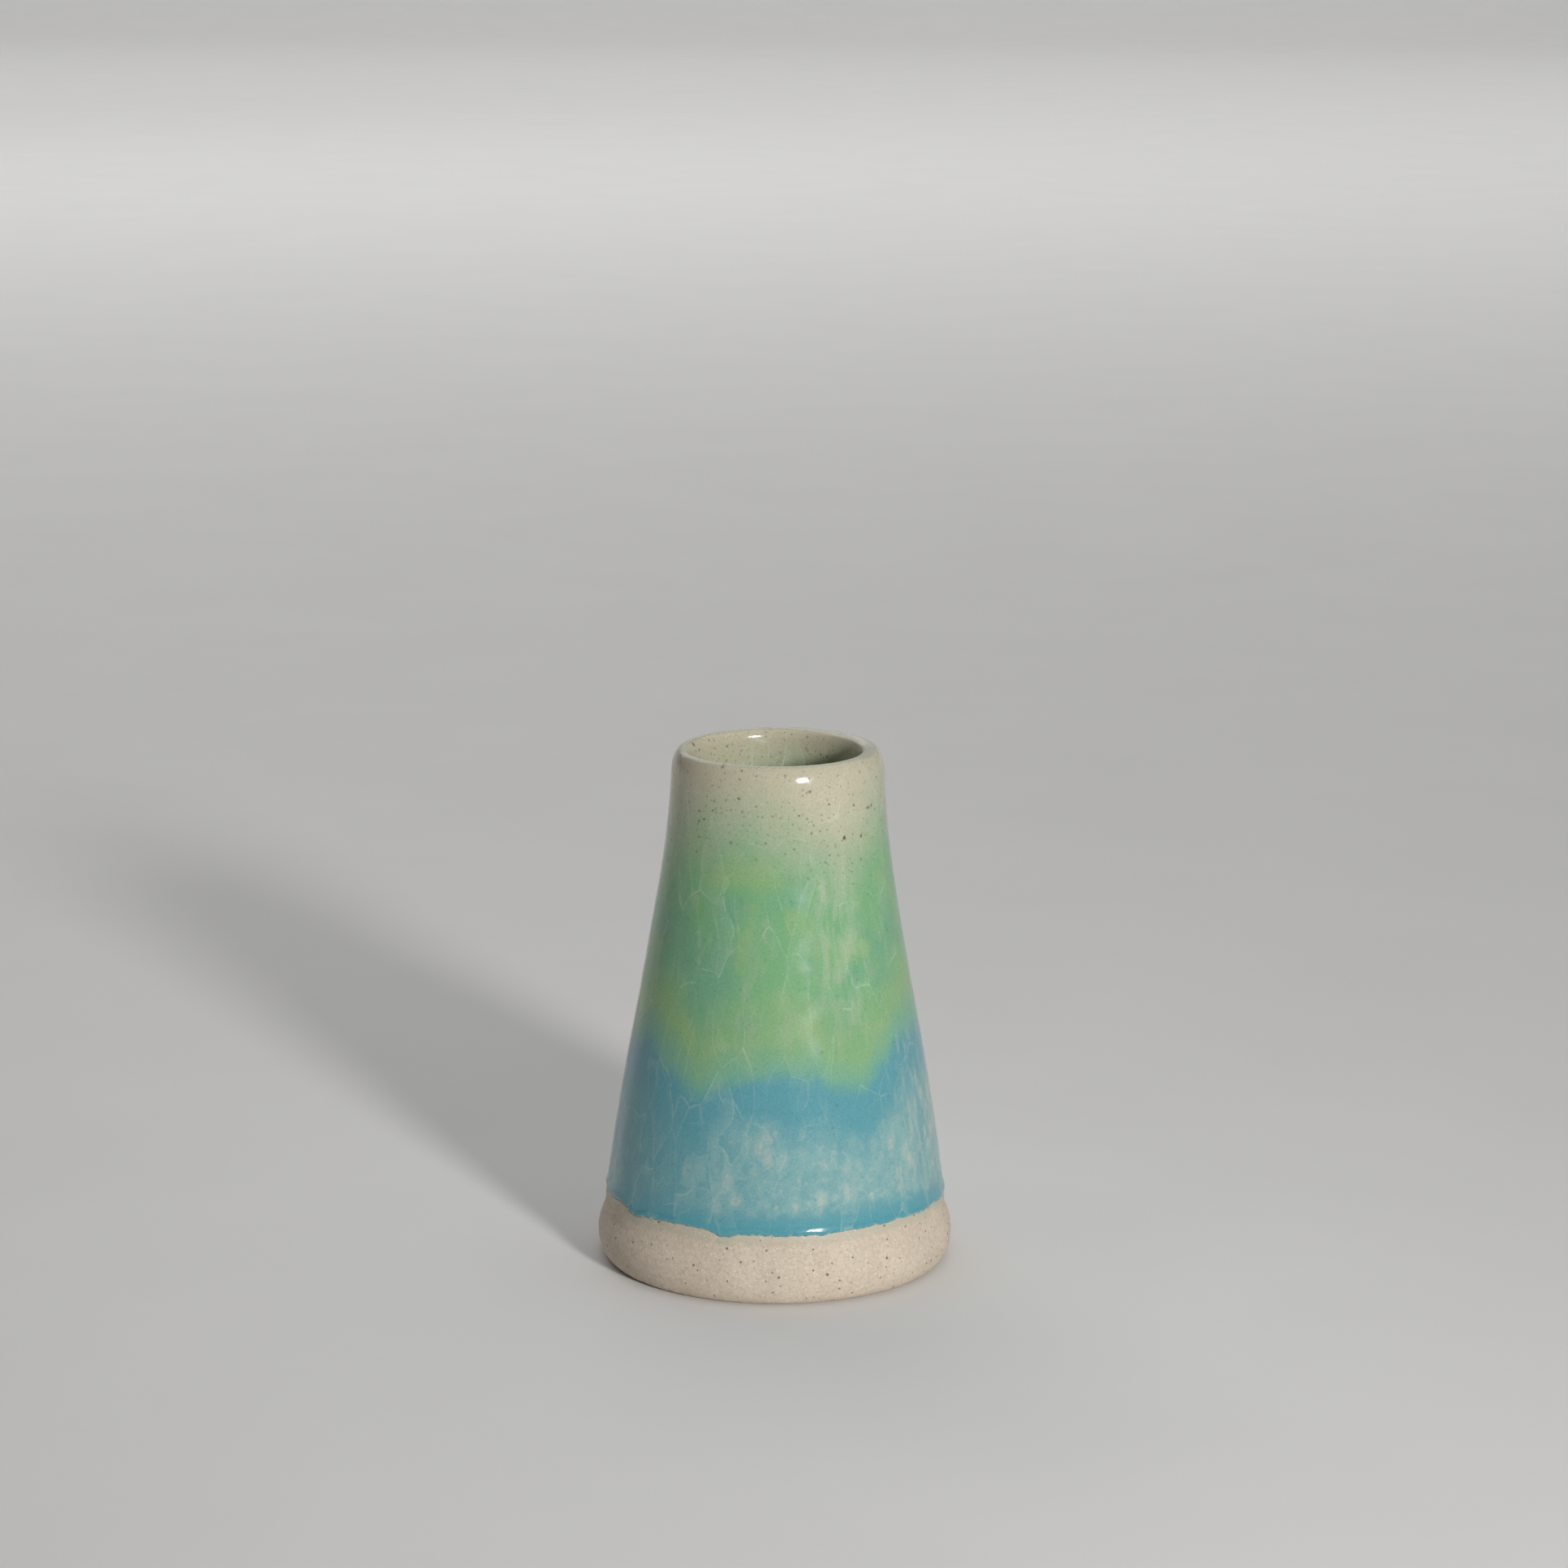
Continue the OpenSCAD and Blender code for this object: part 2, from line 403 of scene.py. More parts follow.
def make_rim():
    lip_back = line_rows(lip_line(), -BACK_DEPTH)[::-1]
    wall_back = wall_rows(green_z, np.full(SEGMENTS, lip_start[1]), np.linspace(1, 0, 8)[1:],
                          -BACK_DEPTH)
    return glaze_piece("rim_glaze_coat", green_end, throat, lip_back + wall_back)


def make_liner():
    start = len(lip_line()) - 1
    back = np.array(line_rows(clay_inside, -BACK_DEPTH)[start:][::-1])
    grid = np.concatenate([back, skin[throat:]])
    normals = np.concatenate([directions(back), skin_out[throat:]])
    poles = (FLOOR_Z - BACK_DEPTH, FLOOR_Z + GLAZE)
    return build("liner_glaze_coat", grid, normals, poles=poles)


def underside():
    """The outline below the foot: a shallow hollow, its soft step, and the face it stands on."""
    step_r = HOLLOW_R - 2 * HOLLOW_DEPTH
    hollow = [(r, HOLLOW_DEPTH + 0.03 * math.sin(r * 2.4))
              for r in np.linspace(2, step_r - 0.6, 16)]
    bend = arc((step_r - 0.6, 0), 1.0, HOLLOW_DEPTH, math.pi / 2, 0.9, 4)[1:]
    step = zip(np.linspace(step_r + 0.6, HOLLOW_R - 0.2, 5),
               np.linspace(HOLLOW_DEPTH - 0.42, 0.06, 5))
    standing = [(r, 0.0) for r in np.linspace(HOLLOW_R + 0.3, STANDING_R - 0.6, 10)]
    return np.array([*hollow, *map(tuple, bend), *step, *standing])


def make_clay():
    """The thrown body. Its bare foot and underside have the grit and tool marks in the mesh, and
    the clay under the glaze lies a little deeper than the glaze's own clay side."""
    foot = np.concatenate([foot_arc[::3], cubic(TURN_CURVE, np.linspace(0, 1, 26))[1:]])
    bare = [to_space(r, z) for r, z in np.concatenate([underside(), foot])]
    for z in np.linspace(SHOULDER_Z, GLAZE_LINE + 1.6, 9)[1:]:
        bare.append(wall_row(z, 0))
    grid = np.array(bare)
    z = grid[..., 2]
    turn = np.radians(ANGLES)
    out = np.stack([np.sin(turn), -np.cos(turn), np.zeros(SEGMENTS)], -1)
    grit = sum(high * noise_at(grid, size, seed) for high, size, seed in GRIT)
    wander = 2 * noise_at(grid, 12, 6)
    turned = TOOL_MARK * np.sin(2 * np.pi * z / TOOL_PITCH + wander) * smooth(1, 4, z)
    near_table = np.exp(-((z - 0.5) / 0.5) ** 2) * (np.hypot(grid[..., 0], grid[..., 1]) > 29)
    burr = BURR * np.clip(noise_at(grid, 1.6, 7) + 0.1, 0, 1) * near_table
    raised = CLAY_RAISED * smooth(9.0, 12.8, z) * (1 - smooth(edge_z, edge_z + 0.8, z))
    grid = grid + ((grit + turned) * smooth(0.1, 1.2, z) + burr + raised)[..., None] * out
    covered = [wall_row(z, -CLAY_DEPTH) for z in np.linspace(GLAZE_LINE + 3, lip_start[1], 14)]
    covered += line_rows(clay_inside, -CLAY_DEPTH)[1::3]
    bare_count = len(grid)
    grid = np.concatenate([grid, covered])
    piece = build("thrown_body", grid, poles=(HOLLOW_DEPTH, FLOOR_Z - CLAY_DEPTH))
    bare_part = np.arange(len(grid))[:, None] < bare_count
    mark(piece, "above_edge", np.where(bare_part, grid[..., 2] - edge_z, BEAD))
    return piece


# ---------------------------------------------------------------------------------------------
# Materials
# ---------------------------------------------------------------------------------------------
class Paint:
    """One material's node tree. Its methods add nodes and hand back the socket of the result."""

    def __init__(self, name):
        self.material = bpy.data.materials.new(name)
        self.material.use_nodes = True
        self.tree = self.material.node_tree
        self.shader = self.tree.nodes["Principled BSDF"]
        coords = self.tree.nodes.new("ShaderNodeTexCoord")
        self.place = self.vector("MULTIPLY", coords.outputs["Object"], (1 / MM,) * 3)

    def feed(self, socket, value):
        if isinstance(value, bpy.types.NodeSocket):
            self.tree.links.new(value, socket)
        else:
            socket.default_value = value

    def vector(self, operation, a, b, output="Vector"):
        node = self.tree.nodes.new("ShaderNodeVectorMath")
        node.operation = operation
        self.feed(node.inputs[0], a)
        self.feed(node.inputs[1], b)
        return node.outputs[output]

    def math(self, operation, a, b=0.0):
        node = self.tree.nodes.new("ShaderNodeMath")
        node.operation = operation
        self.feed(node.inputs[0], a)
        self.feed(node.inputs[1], b)
        return node.outputs[0]

    def total(self, first, *rest):
        for value in rest:
            first = self.math("ADD", first, value)
        return first

    def product(self, first, *rest):
        for value in rest:
            first = self.math("MULTIPLY", first, value)
        return first

    def fade(self, value, low, high, start=0.0, end=1.0):
        """start below low, end above high, with a soft step between."""
        node = self.tree.nodes.new("ShaderNodeMapRange")
        node.interpolation_type = "SMOOTHSTEP"
        for name, v in (("Value", value), ("From Min", low), ("From Max", high),
                        ("To Min", start), ("To Max", end)):
            self.feed(node.inputs[name], v)
        return node.outputs["Result"]

    def mix(self, share, a, b, blend="MIX"):
        node = self.tree.nodes.new("ShaderNodeMix")
        node.data_type = "RGBA"
        node.blend_type = blend
        self.feed(node.inputs["Factor"], share)
        sockets = [s for s in node.inputs if s.type == "RGBA"]
        for socket, colour in zip(sockets, (a, b)):
            self.feed(socket, (*colour, 1.0) if isinstance(colour, tuple) else colour)
        return next(s for s in node.outputs if s.type == "RGBA")

    def grey(self, value):
        node = self.tree.nodes.new("ShaderNodeCombineColor")
        for socket in node.inputs[:3]:
            self.tree.links.new(value, socket)
        return node.outputs[0]

    def channel(self, colour, index):
        node = self.tree.nodes.new("ShaderNodeSeparateColor")
        self.tree.links.new(colour, node.inputs[0])
        return node.outputs[index]

    def noise(self, size, place=None, detail=2.0, rough=0.5, output="Fac"):
        node = self.tree.nodes.new("ShaderNodeTexNoise")
        self.feed(node.inputs["Vector"], self.place if place is None else place)
        node.inputs["Scale"].default_value = 1 / size
        node.inputs["Detail"].default_value = detail
        node.inputs["Roughness"].default_value = rough
        return node.outputs[output]

    def drift(self, size, reach, place=None, detail=3.0):
        """Noise about zero: most of it lies within reach on either side."""
        return self.product(self.math("SUBTRACT", self.noise(size, place, detail), 0.5), 5 * reach)

    def cells(self, size, place=None, feature="F1", output="Distance"):
        node = self.tree.nodes.new("ShaderNodeTexVoronoi")
        node.feature = feature
        self.feed(node.inputs["Vector"], self.place if place is None else place)
        node.inputs["Scale"].default_value = 1 / size
        return node.outputs[output]

    def height(self):
        node = self.tree.nodes.new("ShaderNodeSeparateXYZ")
        self.tree.links.new(self.place, node.inputs[0])
        return node.outputs[2]

    def facing(self, angle, inner, outer):
        """1 within inner degrees of an angle round the axis, 0 beyond outer degrees."""
        turn = math.radians(angle)
        flat = self.vector("MULTIPLY", self.place, (1, 1, 0))
        unit = self.vector("NORMALIZE", flat, (0, 0, 0))
        side = self.vector("DOT_PRODUCT", unit, (math.sin(turn), -math.cos(turn), 0), "Value")
        return self.fade(side, math.cos(math.radians(outer)), math.cos(math.radians(inner)))

    def attribute(self, name):
        node = self.tree.nodes.new("ShaderNodeAttribute")
        node.attribute_name = name
        return node.outputs["Fac"]

    def warped(self, amount, size, squeeze=(1, 1, 1)):
        """The place pushed about by noise, then squeezed."""
        push = self.vector("SUBTRACT", self.noise(size, None, 1.0, output="Color"), (0.5,) * 3)
        push = self.vector("MULTIPLY", push, (amount,) * 3)
        return self.vector("MULTIPLY", self.vector("ADD", self.place, push), squeeze)

    def bump(self, height, distance, strength, before=None):
        node = self.tree.nodes.new("ShaderNodeBump")
        self.feed(node.inputs["Height"], height)
        node.inputs["Distance"].default_value = distance * MM
        node.inputs["Strength"].default_value = strength
        if before is not None:
            self.tree.links.new(before, node.inputs["Normal"])
        return node.outputs["Normal"]

    def finish(self, colour, rough, normal):
        self.feed(self.shader.inputs["Base Color"], colour)
        self.feed(self.shader.inputs["Roughness"], rough)
        self.tree.links.new(normal, self.shader.inputs["Normal"])
        return self.material


# Colours of the fired glaze and clay, linear
CREAM = (0.53, 0.495, 0.37)
CREAM_GREEN = (0.375, 0.45, 0.31)
CREST = (0.33, 0.36, 0.25)
LINER_GREEN = (0.30, 0.42, 0.265)
GREEN = (0.19, 0.415, 0.208)
TEAL_GREEN = (0.165, 0.38, 0.232)
YELLOW_GREEN = (0.265, 0.435, 0.19)
BORDER_GREEN = (0.175, 0.40, 0.29)
PALE_GREEN = (0.44, 0.52, 0.385)
BLUE = (0.11, 0.325, 0.38)
PALE_BLUE = (0.235, 0.42, 0.42)
POOL_BLUE = (0.095, 0.325, 0.385)
WHITISH = (0.50, 0.54, 0.47)
FRINGE = (0.50, 0.475, 0.375)
CRAZE = (0.66, 0.73, 0.60)
SPECK_BROWN = (0.055, 0.035, 0.015)
SPECK_RUST = (0.30, 0.12, 0.03)
CLAY = (0.66, 0.575, 0.47)
CLAY_WARM = (0.62, 0.53, 0.43)
CLAY_DARK = (0.42, 0.33, 0.25)
CLAY_GRAIN = (0.88, 0.84, 0.76)


# The craze: the width of its cells before they are drawn out upwards, and how far
CRAZE_CELL = 5.4
CRAZE_TALL = (1, 1, 0.30)
FINE_CELL = 3.0
FINE_TALL = (1, 1, 0.50)
CRAZE_WOBBLE = (0.35, 0.35, 0.2)


def crackle(p, where):
    """The craze of the glaze: thin broken lines round tall cells, a glow beside some, and painted
    glints on a few small cells, where crack faces would catch the light. All are weaker where the
    given share is low."""
    wobble = p.vector("SUBTRACT", p.noise(2.5, None, 1.0, output="Color"), (0.5,) * 3)
    wobble = p.vector("MULTIPLY", wobble, CRAZE_WOBBLE)
    tall = p.vector("ADD", p.warped(4.5, 13.0, CRAZE_TALL), wobble)
    low = p.vector("ADD", p.warped(2.0, 8.0, FINE_TALL), wobble)
    edge = p.cells(CRAZE_CELL, tall, "DISTANCE_TO_EDGE")
    fine_edge = p.cells(FINE_CELL, low, "DISTANCE_TO_EDGE")
    tone = p.channel(p.cells(CRAZE_CELL, tall, output="Color"), 0)
    fine_tone = p.channel(p.cells(FINE_CELL, low, output="Color"), 1)
    clear = p.noise(8.0, detail=1.0)
    broken = p.product(p.fade(p.noise(3.2, detail=2.0), 0.36, 0.54, 0.2, 1), where)
    long_line = p.total(p.fade(edge, 0.003, 0.013, 0.85, 0), p.fade(edge, 0.0, 0.03, 0.15, 0))
    long_line = p.product(long_line, broken, p.fade(clear, 0.32, 0.55, 0.4, 1))
    fine_line = p.product(p.fade(fine_edge, 0.002, 0.016, 0.65, 0), broken,
                          p.fade(clear, 0.46, 0.62, 0.1, 1))
    lines = p.math("MAXIMUM", long_line, fine_line)
    glow = p.product(p.fade(edge, 0.0, 0.22, 1, 0), p.fade(tone, 0.45, 0.9), broken)
    # Painted highlight: a few small cells of the fine craze turned pale, as glints of their crack
    # faces
    painted_glint = p.product(p.fade(fine_tone, 0.93, 0.96), p.fade(fine_edge, 0.0, 0.08),
                      p.fade(clear, 0.50, 0.55), where)
    # The second result is the glow together with the painted glints
    return lines, p.math("MAXIMUM", glow, painted_glint)


def specks(p, size, share, radius, soft, place=None):
    """Round specks: one in some cells of the given size, of varied radius in millimetres."""
    pick = p.cells(size, place, output="Color")
    chosen = p.fade(p.channel(pick, 0), 1 - share, 1 - share + 0.01)
    depth = p.fade(p.channel(pick, 2), 0, 1, 0.5, 1)
    reach = p.product(p.fade(p.channel(pick, 1), 0, 1, 0.4, 1), radius / size)
    ratio = p.math("DIVIDE", p.cells(size, place), reach)
    return p.product(p.fade(ratio, 1 - soft, 1 + soft, 1, 0), chosen, depth)


def speckled(p, colour, share):
    """The colour with the iron of the clay showing through: fine, middling and rusty specks."""
    uneven = p.warped(0.5, 0.6)
    fine = p.product(specks(p, 0.85, 0.70, 0.21, 0.8, uneven), share, 0.50)
    middling = p.product(specks(p, 1.6, 0.60, 0.30, 0.6, uneven), share, 0.80)
    large = specks(p, 3.2, 0.60, 0.42, 0.8, uneven)
    colour = p.mix(fine, colour, SPECK_BROWN)
    colour = p.mix(middling, colour, SPECK_BROWN)
    colour = p.mix(p.product(large, share, 0.6), colour, SPECK_RUST)
    return p.mix(p.product(p.fade(large, 0.45, 0.8), share, 0.85), colour, SPECK_BROWN)


def glassy(p, colour, lines):
    """Ends a glaze: fine grain, and a glossy face with faint waves and the craze just raised."""
    grain = p.fade(p.noise(0.33, detail=4.0, rough=0.65), 0.3, 0.7, 0.91, 1.09)
    colour = p.mix(1.0, colour, p.grey(grain), "MULTIPLY")
    rough = p.fade(p.noise(4.0, detail=3.0), 0.3, 0.7, 0.10, 0.20)
    normal = p.bump(p.noise(3.2, detail=1.0), 0.05, 0.30)
    normal = p.bump(p.noise(0.7, detail=2.0), 0.015, 0.15, normal)
    normal = p.bump(lines, 0.02, 0.25, normal)
    return p.finish(colour, rough, normal)


class OuterCoat(Paint):
    """The outer coat: cream, green and blue zones with soft borders. The bands share it, so that
    the colours run on from one to the next."""

    def __init__(self, name):
        super().__init__(name)
        self.above_edge = self.attribute("above_edge")
        self.above_blue = self.attribute("above_blue")
        self.z = self.height()
        self.broad = self.drift(11.0, 1.0)
        self.small = self.drift(2.2, 1.0)
        self.fine = self.drift(0.8, 1.0)
        self.streak = self.noise(1.6, self.warped(1.2, 6.0, (1, 1, 0.14)), 3.0)
        self.cloud = self.noise(3.4, self.warped(1.5, 5.0, (1, 1, 0.7)), 3.0)
        self.rise = self.total(self.attribute("above_green"), self.product(self.broad, 1.6),
                               self.product(self.small, 0.7))
        self.border = self.total(self.above_blue, self.product(self.broad, 0.7),
                                 self.product(self.small, 0.6))

    def yellow(self):
        """Where the green turns yellow: over the blue, high on the left, and in patches."""
        low_green = self.total(self.above_blue, self.product(self.broad, 4.0))
        near_blue = self.fade(low_green, 5.0, 17.0, 0.75, 0.0)
        uneven_z = self.total(self.z, self.broad)
        high_left = self.product(self.facing(-17, 6, 26), self.fade(uneven_z, 75, 79),
                                 self.fade(uneven_z, 85, 80, 0, 0.75))
        patches = self.noise(8.0, self.warped(4.0, 9.0, (1, 1, 0.8)), 2.0)
        patches = self.fade(patches, 0.54, 0.68, 0, 0.6)
        return self.math("MAXIMUM", self.math("MAXIMUM", near_blue, high_left), patches)

    def green(self):
        """Teal and yellow patches, paler in clouds and streaks, teal again beside the blue."""
        green = self.mix(self.fade(self.noise(14.0, detail=2.0), 0.36, 0.56), TEAL_GREEN, GREEN)
        green = self.mix(self.yellow(), green, YELLOW_GREEN)
        front = self.fade(self.facing(12, 10, 50), 0, 1, 0.45, 1)
        clouds = self.product(self.fade(self.cloud, 0.42, 0.70, 0, 0.24), front)
        green = self.mix(clouds, green, CREAM_GREEN)
        green = self.mix(self.fade(self.streak, 0.54, 0.74, 0, 0.25), green, CREAM_GREEN)
        meeting = self.total(self.above_blue, self.broad, self.product(self.small, 0.5))
        return self.mix(self.fade(meeting, 1.5, 8.0, 0.85, 0), green, BORDER_GREEN)

    def with_cream(self, colour):
        """Cream fades in above, one pale tongue of it runs down, and the crest is greener."""
        colour = self.mix(self.fade(self.rise, -11, 3, 0, 0.85), colour, CREAM_GREEN)
        run = self.total(self.streak, self.product(self.fine, 0.03))
        tongue = self.product(self.facing(31, 3, 15), self.fade(self.z, 48, 62),
                              self.fade(self.z, 88, 78), self.fade(run, 0.36, 0.64, 0, 0.40))
        colour = self.mix(tongue, colour, PALE_GREEN)
        colour = self.mix(self.fade(self.rise, -3, 13), colour, CREAM)
        crest = self.fade(self.attribute("below_crest"), 0.05, 0.6, 0.45, 0)
        return self.mix(crest, colour, CREST)

    def blue(self):
        """Whitish clouds, flecks and side streaks low down, and a deep roll along the edge."""
        over_edge = self.fade(self.total(self.above_edge, self.small), 2.6, 6.0)
        under_green = self.total(self.above_blue, self.product(self.broad, 2.5))
        low_zone = self.product(over_edge, self.fade(under_green, -14, -6, 1, 0))
        pale_sides = self.math("MAXIMUM", self.facing(40, 15, 88),
                               self.product(self.facing(-168, 10, 55), 0.8))
        pale_share = self.fade(pale_sides, 0, 1, 0.2, 1)
        veil = self.fade(self.cloud, 0.34, 0.66, 0.45, 0.90)
        blue = self.mix(self.product(low_zone, pale_share, veil), BLUE, PALE_BLUE)
        rough_place = self.warped(1.5, 1.3, (1, 1, 0.60))
        flecks = self.product(specks(self, 2.5, 0.92, 1.10, 0.95, rough_place), 0.62)
        blue = self.mix(self.product(flecks, low_zone, pale_share), blue, WHITISH)
        crumbs = self.fade(self.noise(1.2, None, 2.0), 0.54, 0.72, 0, 0.22)
        blue = self.mix(self.product(crumbs, low_zone, pale_share), blue, WHITISH)
        side = self.product(self.facing(66, 8, 26), self.fade(self.above_edge, 3, 8),
                            self.fade(self.streak, 0.48, 0.72, 0, 0.3))
        blue = self.mix(side, blue, WHITISH)
        roll_top = self.total(self.above_edge, self.product(self.broad, -0.4),
                              self.product(self.small, -0.35))
        return self.mix(self.fade(roll_top, 2.2, 3.7, 0.95, 0), blue, POOL_BLUE)

    def craze_share(self):
        """How strong the craze is: strongest on the left and the right, in patches elsewhere. The
        craze is real, and its extra strength on the two sides is painted reflection, where the
        lines catch the light.
        """
        light_catching_sides = self.math("MAXIMUM", self.facing(-42, 18, 48),
                          self.product(self.facing(64, 8, 28), 0.8))
        patches = self.fade(self.noise(17.0), 0.45, 0.6, 0.4, 1)
        return self.math("MAXIMUM", light_catching_sides, patches)


def outer_glaze(name):
    """The zones of the outer coat laid over each other, its toothed edge, craze and specks."""
    p = OuterCoat(name)
    upper = p.with_cream(p.green())
    colour = p.mix(p.fade(p.border, -2.6, 2.6), p.blue(), upper)
    teeth = p.fade(p.total(p.above_edge, p.product(p.fine, -0.30)), 0.10, 0.50, 0.9, 0)
    colour = p.mix(teeth, colour, FRINGE)
    # Craze: real lines and glow, with painted glints in the glow and painted reflection in its
    # extra strength on the left and right
    lines, glow = crackle(p, p.craze_share())
    colour = p.mix(p.product(glow, 0.10), colour, CRAZE)
    colour = p.mix(p.product(lines, p.fade(p.border, -3, 3, 0.18, 0.26)), colour, CRAZE)
    on_cream = p.fade(p.rise, -12, 3)
    colour = speckled(p, colour, p.fade(on_cream, 0, 1, 0.22, 0.95))
    return glassy(p, colour, lines)


def inner_glaze(name):
    """The liner: cream with a green cast that deepens downwards, with craze and specks."""
    p = Paint(name)
    depth = p.total(p.height(), p.drift(9.0, 2.0))
    colour = p.mix(p.fade(depth, 87, 98, 1, 0), CREAM, LINER_GREEN)
    # Craze: real lines and glow, with painted glints in the glow
    lines, glow = crackle(p, 1.0)
    near_lip = p.fade(p.height(), 92, 98)
    colour = p.mix(p.product(glow, p.fade(near_lip, 0, 1, 0.2, 0.10)), colour, CRAZE)
    colour = p.mix(p.product(lines, p.fade(near_lip, 0, 1, 0.8, 0.35)), colour, CRAZE)
    colour = speckled(p, colour, p.fade(near_lip, 0, 1, 0.6, 0.95))
    return glassy(p, colour, lines)


def bare_clay(name):
    """Bare fired stoneware: warm buff, sandy and specked, with a jagged fringe of clear glaze
    just under the glaze line."""
    p = Paint(name)
    above_edge = p.attribute("above_edge")
    colour = p.mix(p.fade(p.noise(8.0, detail=3.0), 0.35, 0.65), CLAY_WARM, CLAY)
    dust = p.noise(0.7, detail=4.0, rough=0.7)
    colour = p.mix(p.fade(dust, 0.34, 0.58, 0.42, 0), colour, CLAY_DARK)
    fringe_low = p.total(above_edge, p.drift(0.7, 0.5), p.drift(1.5, 0.5), p.drift(5.0, 0.5))
    fringe = p.fade(fringe_low, -1.5, -1.0)
    colour = p.mix(p.product(fringe, 0.85), colour, FRINGE)
    grain_pick = p.channel(p.cells(0.42, output="Color"), 0)
    grain = p.product(p.fade(p.cells(0.42), 0.12, 0.34, 1, 0), p.fade(grain_pick, 0.70, 0.74))
    colour = p.mix(p.product(grain, 0.80), colour, CLAY_GRAIN)
    pits = specks(p, 1.25, 0.55, 0.25, 0.4)
    colour = p.mix(p.product(pits, 0.8), colour, SPECK_BROWN)
    colour = p.mix(p.product(specks(p, 0.7, 0.45, 0.11, 0.5), 0.55), colour, CLAY_DARK)
    colour = p.mix(p.product(specks(p, 5.0, 0.3, 0.40, 0.5), 0.8), colour, SPECK_RUST)
    rough = p.product(p.fade(grain, 0, 1, 0.80, 0.30), p.fade(fringe, 0, 1, 1.0, 0.6))
    sand = p.math("SUBTRACT", p.noise(0.42, detail=3.0, rough=0.6), pits)
    normal = p.bump(sand, 0.12, 0.95)
    normal = p.bump(p.cells(0.42), 0.06, 0.6, normal)
    return p.finish(colour, rough, normal)


# ---------------------------------------------------------------------------------------------
# Stage, light and camera
# ---------------------------------------------------------------------------------------------
# The floor, in metres: half its width, where it starts to sweep up, and the wall's top
FLOOR_HALF = 6.0
SWEEP_START = 5.0
SWEEP_R = 2.0
WALL_TOP = 6.0
FLOOR_TONES = ((0.72, 0.715, 0.705), (0.76, 0.755, 0.745))
FLOOR_ROUGH = 0.9
FLOOR_SHINE = 0.15

# The studio's strength near the floor and overhead, and what the camera sees of it
STUDIO_LOW = 0.12
STUDIO_HIGH = 0.02
STUDIO_SEEN = 0.55
STUDIO_COLOUR = (0.95, 0.97, 1.0, 1)

# The camera: metres in front of the axis and above the floor, degrees, and millimetres
CAMERA_DISTANCE = 0.800
CAMERA_HEIGHT = 0.268
LOOK_DOWN = 12.37
TURN_LEFT = -0.09
CAMERA_ROLL = 0.35
SENSOR = 36.0
LENS = 99.3


def make_floor():
    """A wide pale floor that sweeps up behind the vase."""
    line = [(-FLOOR_HALF, 0.0)]
    line += [(SWEEP_START + SWEEP_R * math.sin(a), SWEEP_R - SWEEP_R * math.cos(a))
             for a in np.linspace(0, math.pi / 2, 24)]
    line.append((SWEEP_START + SWEEP_R, WALL_TOP))
    points = [(x, y, z) for y, z in line for x in (-FLOOR_HALF, FLOOR_HALF)]
    faces = [(2 * i, 2 * i + 1, 2 * i + 3, 2 * i + 2) for i in range(len(line) - 1)]
    mesh = bpy.data.meshes.new("floor")
    mesh.from_pydata(points, [], faces)
    mesh.polygons.foreach_set("use_smooth", [True] * len(mesh.polygons))
    floor = bpy.data.objects.new("floor", mesh)
    bpy.context.scene.collection.objects.link(floor)
    p = Paint("floor_paint")
    colour = p.mix(p.noise(60.0, detail=3.0), *FLOOR_TONES)
    p.shader.inputs["Specular IOR Level"].default_value = FLOOR_SHINE
    mesh.materials.append(p.finish(colour, FLOOR_ROUGH, p.bump(p.noise(1.2), 0.02, 0.2)))


def aimed(azimuth, elevation, distance, target):
    """A place seen from target at that bearing, and the turn that looks back at target."""
    az, el = math.radians(azimuth), math.radians(elevation)
    away = Vector((math.sin(az) * math.cos(el), -math.cos(az) * math.cos(el), math.sin(el)))
    place = Vector(target) + away * distance
    return Matrix.Translation(place) @ away.to_track_quat("Z", "Y").to_matrix().to_4x4()


def make_light(name, place, size, power, shape="RECTANGLE", colour=(1, 1, 1), spread=180):
    """An area lamp: its two sides in metres, its power in watts and its spread in degrees."""
    light = bpy.data.lights.new(name, "AREA")
    light.shape = shape
    light.size, light.size_y = size
    light.energy = power
    light.color = colour
    light.spread = math.radians(spread)
    lamp = bpy.data.objects.new(name, light)
    bpy.context.scene.collection.objects.link(lamp)
    lamp.matrix_world = place


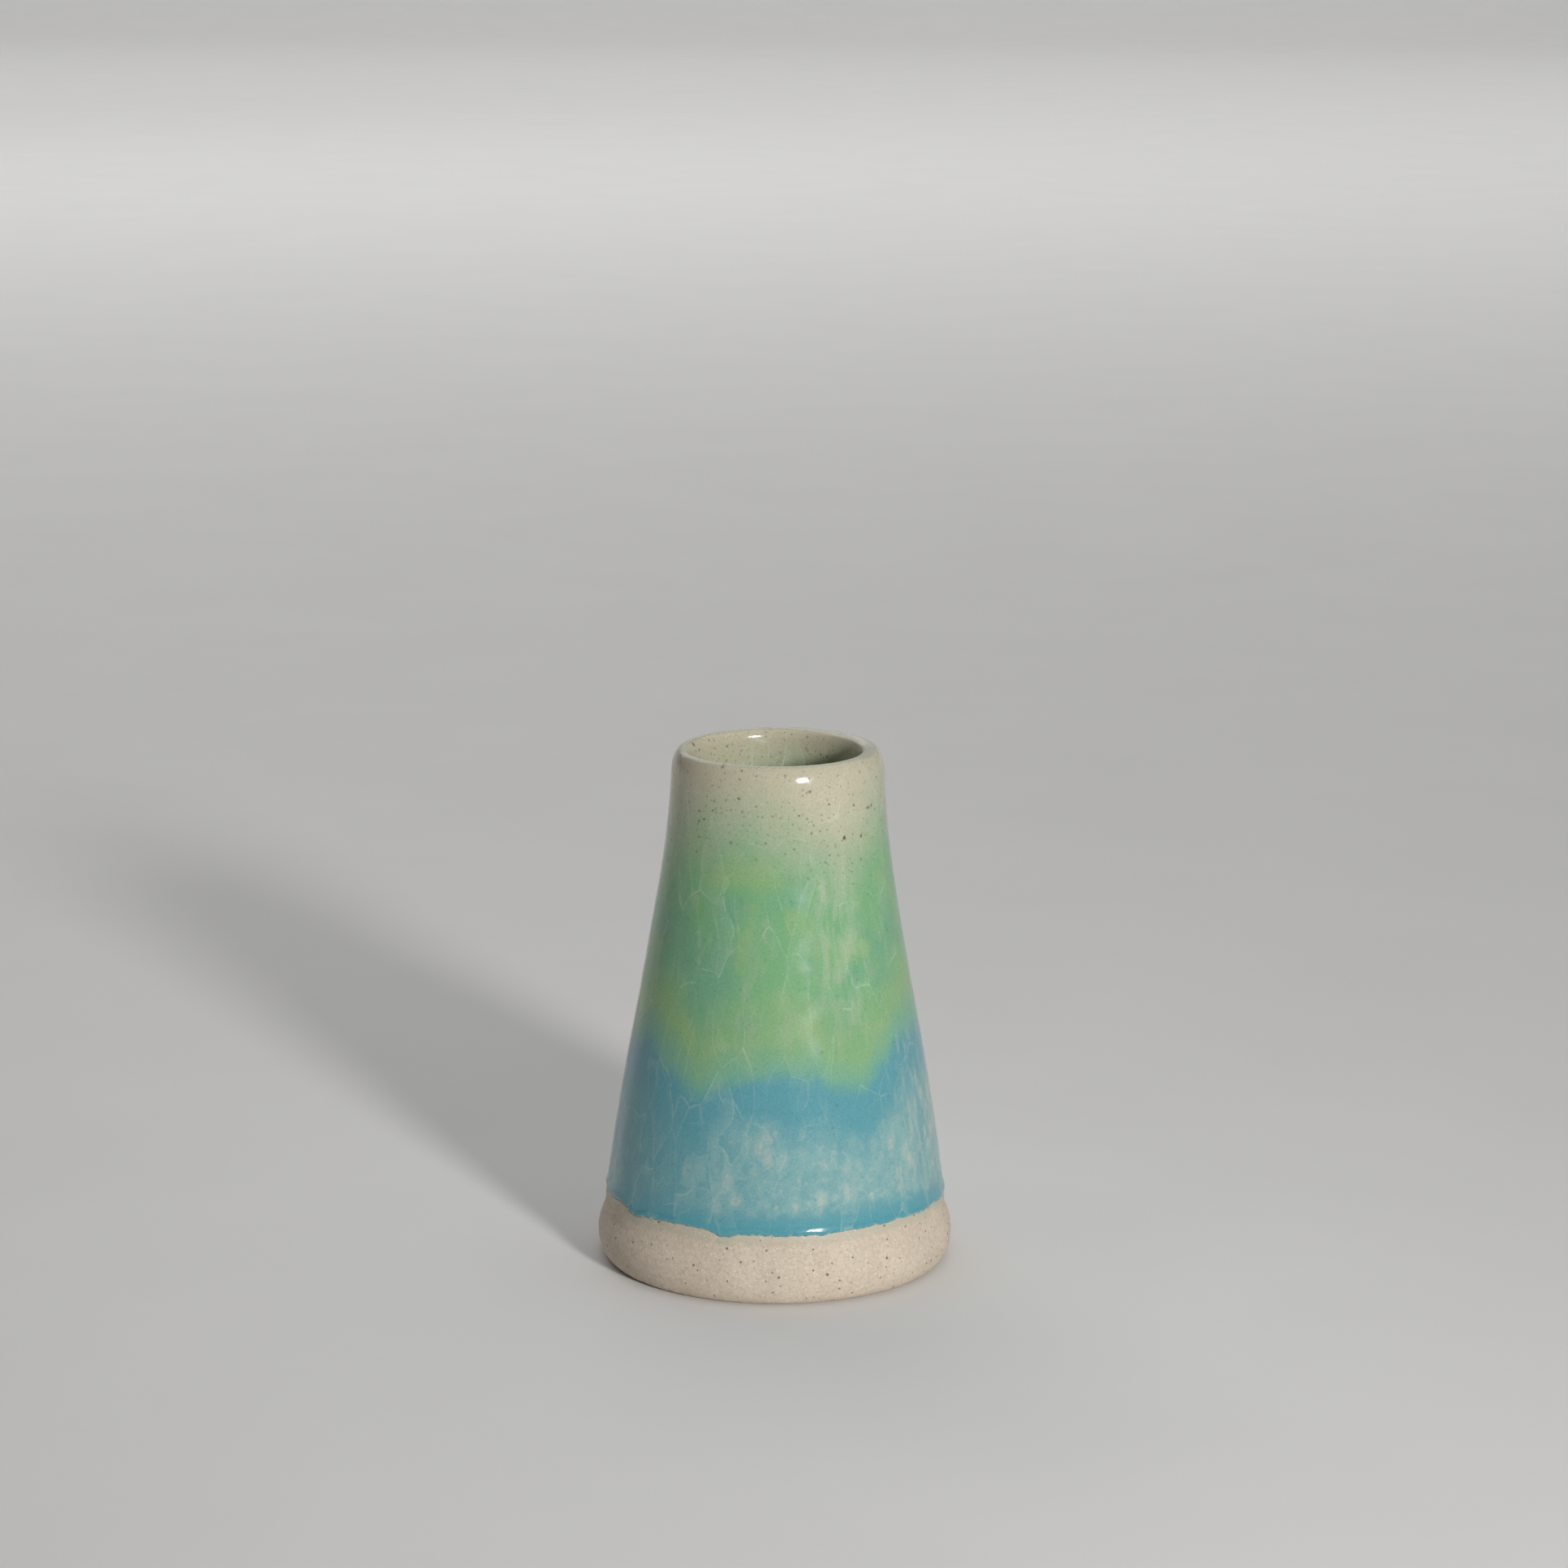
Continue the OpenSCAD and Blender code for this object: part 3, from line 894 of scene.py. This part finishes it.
def make_world():
    """A studio that is a little brighter near its floor than overhead. Its far wall looks pale,
    but gives little light."""
    world = bpy.data.worlds.new("studio")
    bpy.context.scene.world = world
    world.use_nodes = True
    nodes, links = world.node_tree.nodes, world.node_tree.links
    coords = nodes.new("ShaderNodeTexCoord")
    split = nodes.new("ShaderNodeSeparateXYZ")
    fade = nodes.new("ShaderNodeMapRange")
    fade.interpolation_type = "SMOOTHSTEP"
    for name, value in (("From Min", 0.1), ("From Max", 0.6),
                        ("To Min", STUDIO_LOW), ("To Max", STUDIO_HIGH)):
        fade.inputs[name].default_value = value
    path = nodes.new("ShaderNodeLightPath")
    strength = nodes.new("ShaderNodeMapRange")
    strength.inputs["To Max"].default_value = STUDIO_SEEN
    links.new(coords.outputs["Generated"], split.inputs[0])
    links.new(split.outputs[2], fade.inputs["Value"])
    links.new(path.outputs["Is Camera Ray"], strength.inputs["Value"])
    links.new(fade.outputs["Result"], strength.inputs["To Min"])
    links.new(strength.outputs["Result"], nodes["Background"].inputs["Strength"])
    nodes["Background"].inputs["Color"].default_value = STUDIO_COLOUR


def make_camera():
    """The camera stands in front of the axis and looks down at the vase."""
    data = bpy.data.cameras.new("camera")
    data.sensor_width = SENSOR
    data.lens = LENS
    camera = bpy.data.objects.new("camera", data)
    bpy.context.scene.collection.objects.link(camera)
    camera.matrix_world = (Matrix.Translation((0, -CAMERA_DISTANCE, CAMERA_HEIGHT))
                           @ Matrix.Rotation(math.radians(TURN_LEFT), 4, "Z")
                           @ Matrix.Rotation(math.radians(90 - LOOK_DOWN), 4, "X")
                           @ Matrix.Rotation(math.radians(CAMERA_ROLL), 4, "Z"))
    bpy.context.scene.camera = camera


make_camera()
make_floor()
make_world()
middle = (0, 0, HEIGHT * MM / 2)
make_light("key", aimed(azimuth=27, elevation=17, distance=1.2, target=middle),
           size=(0.16, 0.16), power=1.13, shape="ELLIPSE", colour=(1.0, 0.985, 0.96), spread=60)
make_light("overhead", Matrix.Translation((0, 1.5, 3.6)), size=(7.0, 6.0), power=95.0)
make_light("rear", aimed(azimuth=195, elevation=35, distance=3.0, target=middle),
           size=(2.0, 2.0), power=9.0)
make_light("backdrop", aimed(azimuth=0, elevation=48, distance=4.3, target=(0, 6.0, 0.2)),
           size=(7.0, 1.5), power=95.0)
bpy.context.scene.view_settings.view_transform = "Standard"

PIECES = [
    (make_clay, "stoneware_body", "stoneware", bare_clay),
    (make_liner, "liner_glaze", "liner_glaze", inner_glaze),
    (make_rim, "rim_glaze", "cream_glaze", outer_glaze),
    (make_green, "green_glaze", "green_glaze", outer_glaze),
    (make_blue, "blue_glaze", "blue_glaze", outer_glaze),
]
for make, node, slot, paint in PIECES:
    piece = make()
    piece.data.materials.append(paint(slot))
    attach(piece, "root")
    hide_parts(node)
